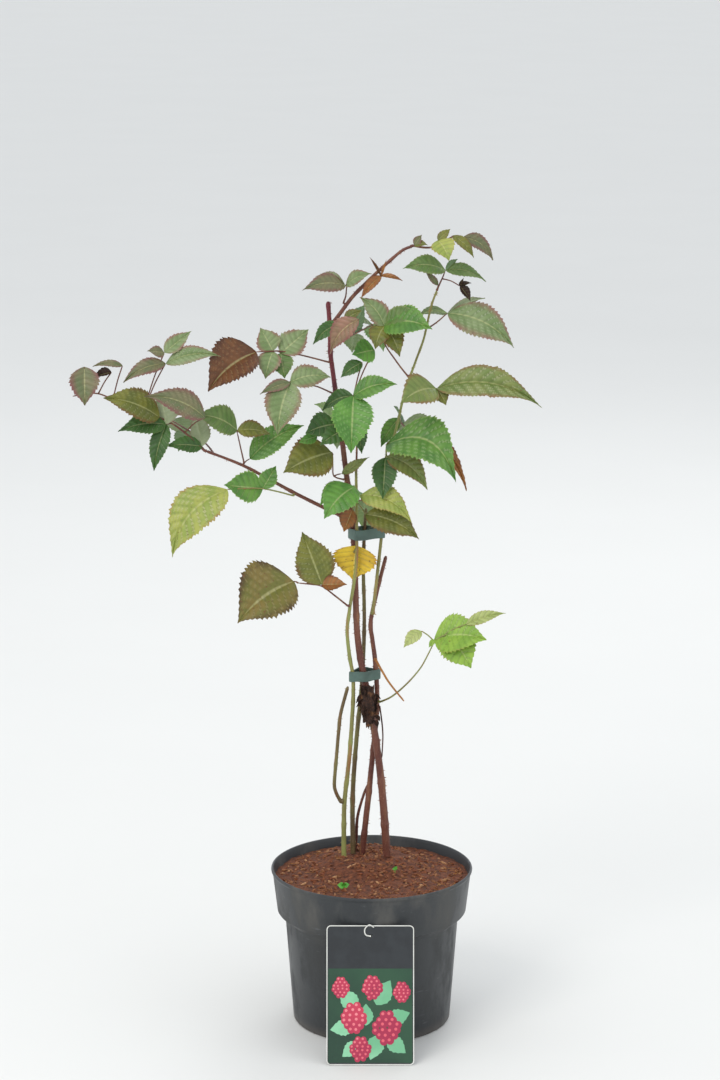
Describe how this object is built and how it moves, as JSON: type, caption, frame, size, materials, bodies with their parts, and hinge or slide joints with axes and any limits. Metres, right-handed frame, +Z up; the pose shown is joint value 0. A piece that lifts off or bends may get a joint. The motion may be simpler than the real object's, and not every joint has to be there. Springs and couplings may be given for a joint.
{
  "type": "potted tayberry",
  "caption": "Young prickly-caned berry bush, tied in a bundle above a round grey nursery pot of bark compost, with an arching side bough and a picture card leaning on the pot.",
  "frame": {"origin": "centre of the pot's underside, on the floor", "axes": "+Z up along the pot's axis, +X to the right as seen from the front, +Y away from the front, where the card leans on the pot at -Y"},
  "size_m": [0.4242, 0.2259, 0.7556],
  "materials": {
    "pot_plastic": "matt grey, dusty",
    "compost": "loose bark and fibre",
    "red_bark": "prickly, satin",
    "green_bark": "prickly, satin",
    "withered_wood": "dry and dull",
    "tie_band": "satin",
    "picture_card": "laminated",
    "card_cord": "satin",
    "leaf": "matt, veined",
    "pale_leaf": "matt, veined",
    "yellow_leaf": "matt, veined"
  },
  "bodies": {
    "root": {"pot": "pot_plastic", "soil": "compost", "card": "picture_card", "card_loop": "card_cord", "lower_tie": "tie_band", "upper_tie": "tie_band", "withered_knot": "withered_wood", "withered_stalk": "withered_wood", "dark_twig": "withered_wood", "main_cane": "red_bark", "top_branch": "red_bark", "middle_cane": "red_bark", "side_stem": "red_bark", "right_shoot": "green_bark", "left_cane": "green_bark", "left_fork": "green_bark", "back_cane": "green_bark", "left_bough": "green_bark", "tip_spray": "leaf", "upper_left_spray": "leaf", "bract_spray": "leaf", "fork_spray": "leaf", "right_fork_spray": "leaf", "big_right_spray": "leaf", "right_tip_spray": "leaf", "long_right_spray": "pale_leaf", "right_middle_spray": "leaf", "left_trio_spray": "leaf", "left_pair_spray": "leaf", "centre_spray": "leaf", "olive_spray": "leaf", "bough_middle_spray": "leaf", "hanging_spray": "pale_leaf", "bough_tip_spray": "leaf", "low_centre_spray": "leaf", "lower_left_spray": "leaf", "yellow_leaf": "yellow_leaf", "lower_right_spray": "pale_leaf", "back_upper_spray": "leaf", "back_right_spray": "leaf", "back_centre_spray": "leaf", "back_left_spray": "leaf", "back_low_spray": "leaf"}
  },
  "joints": []
}
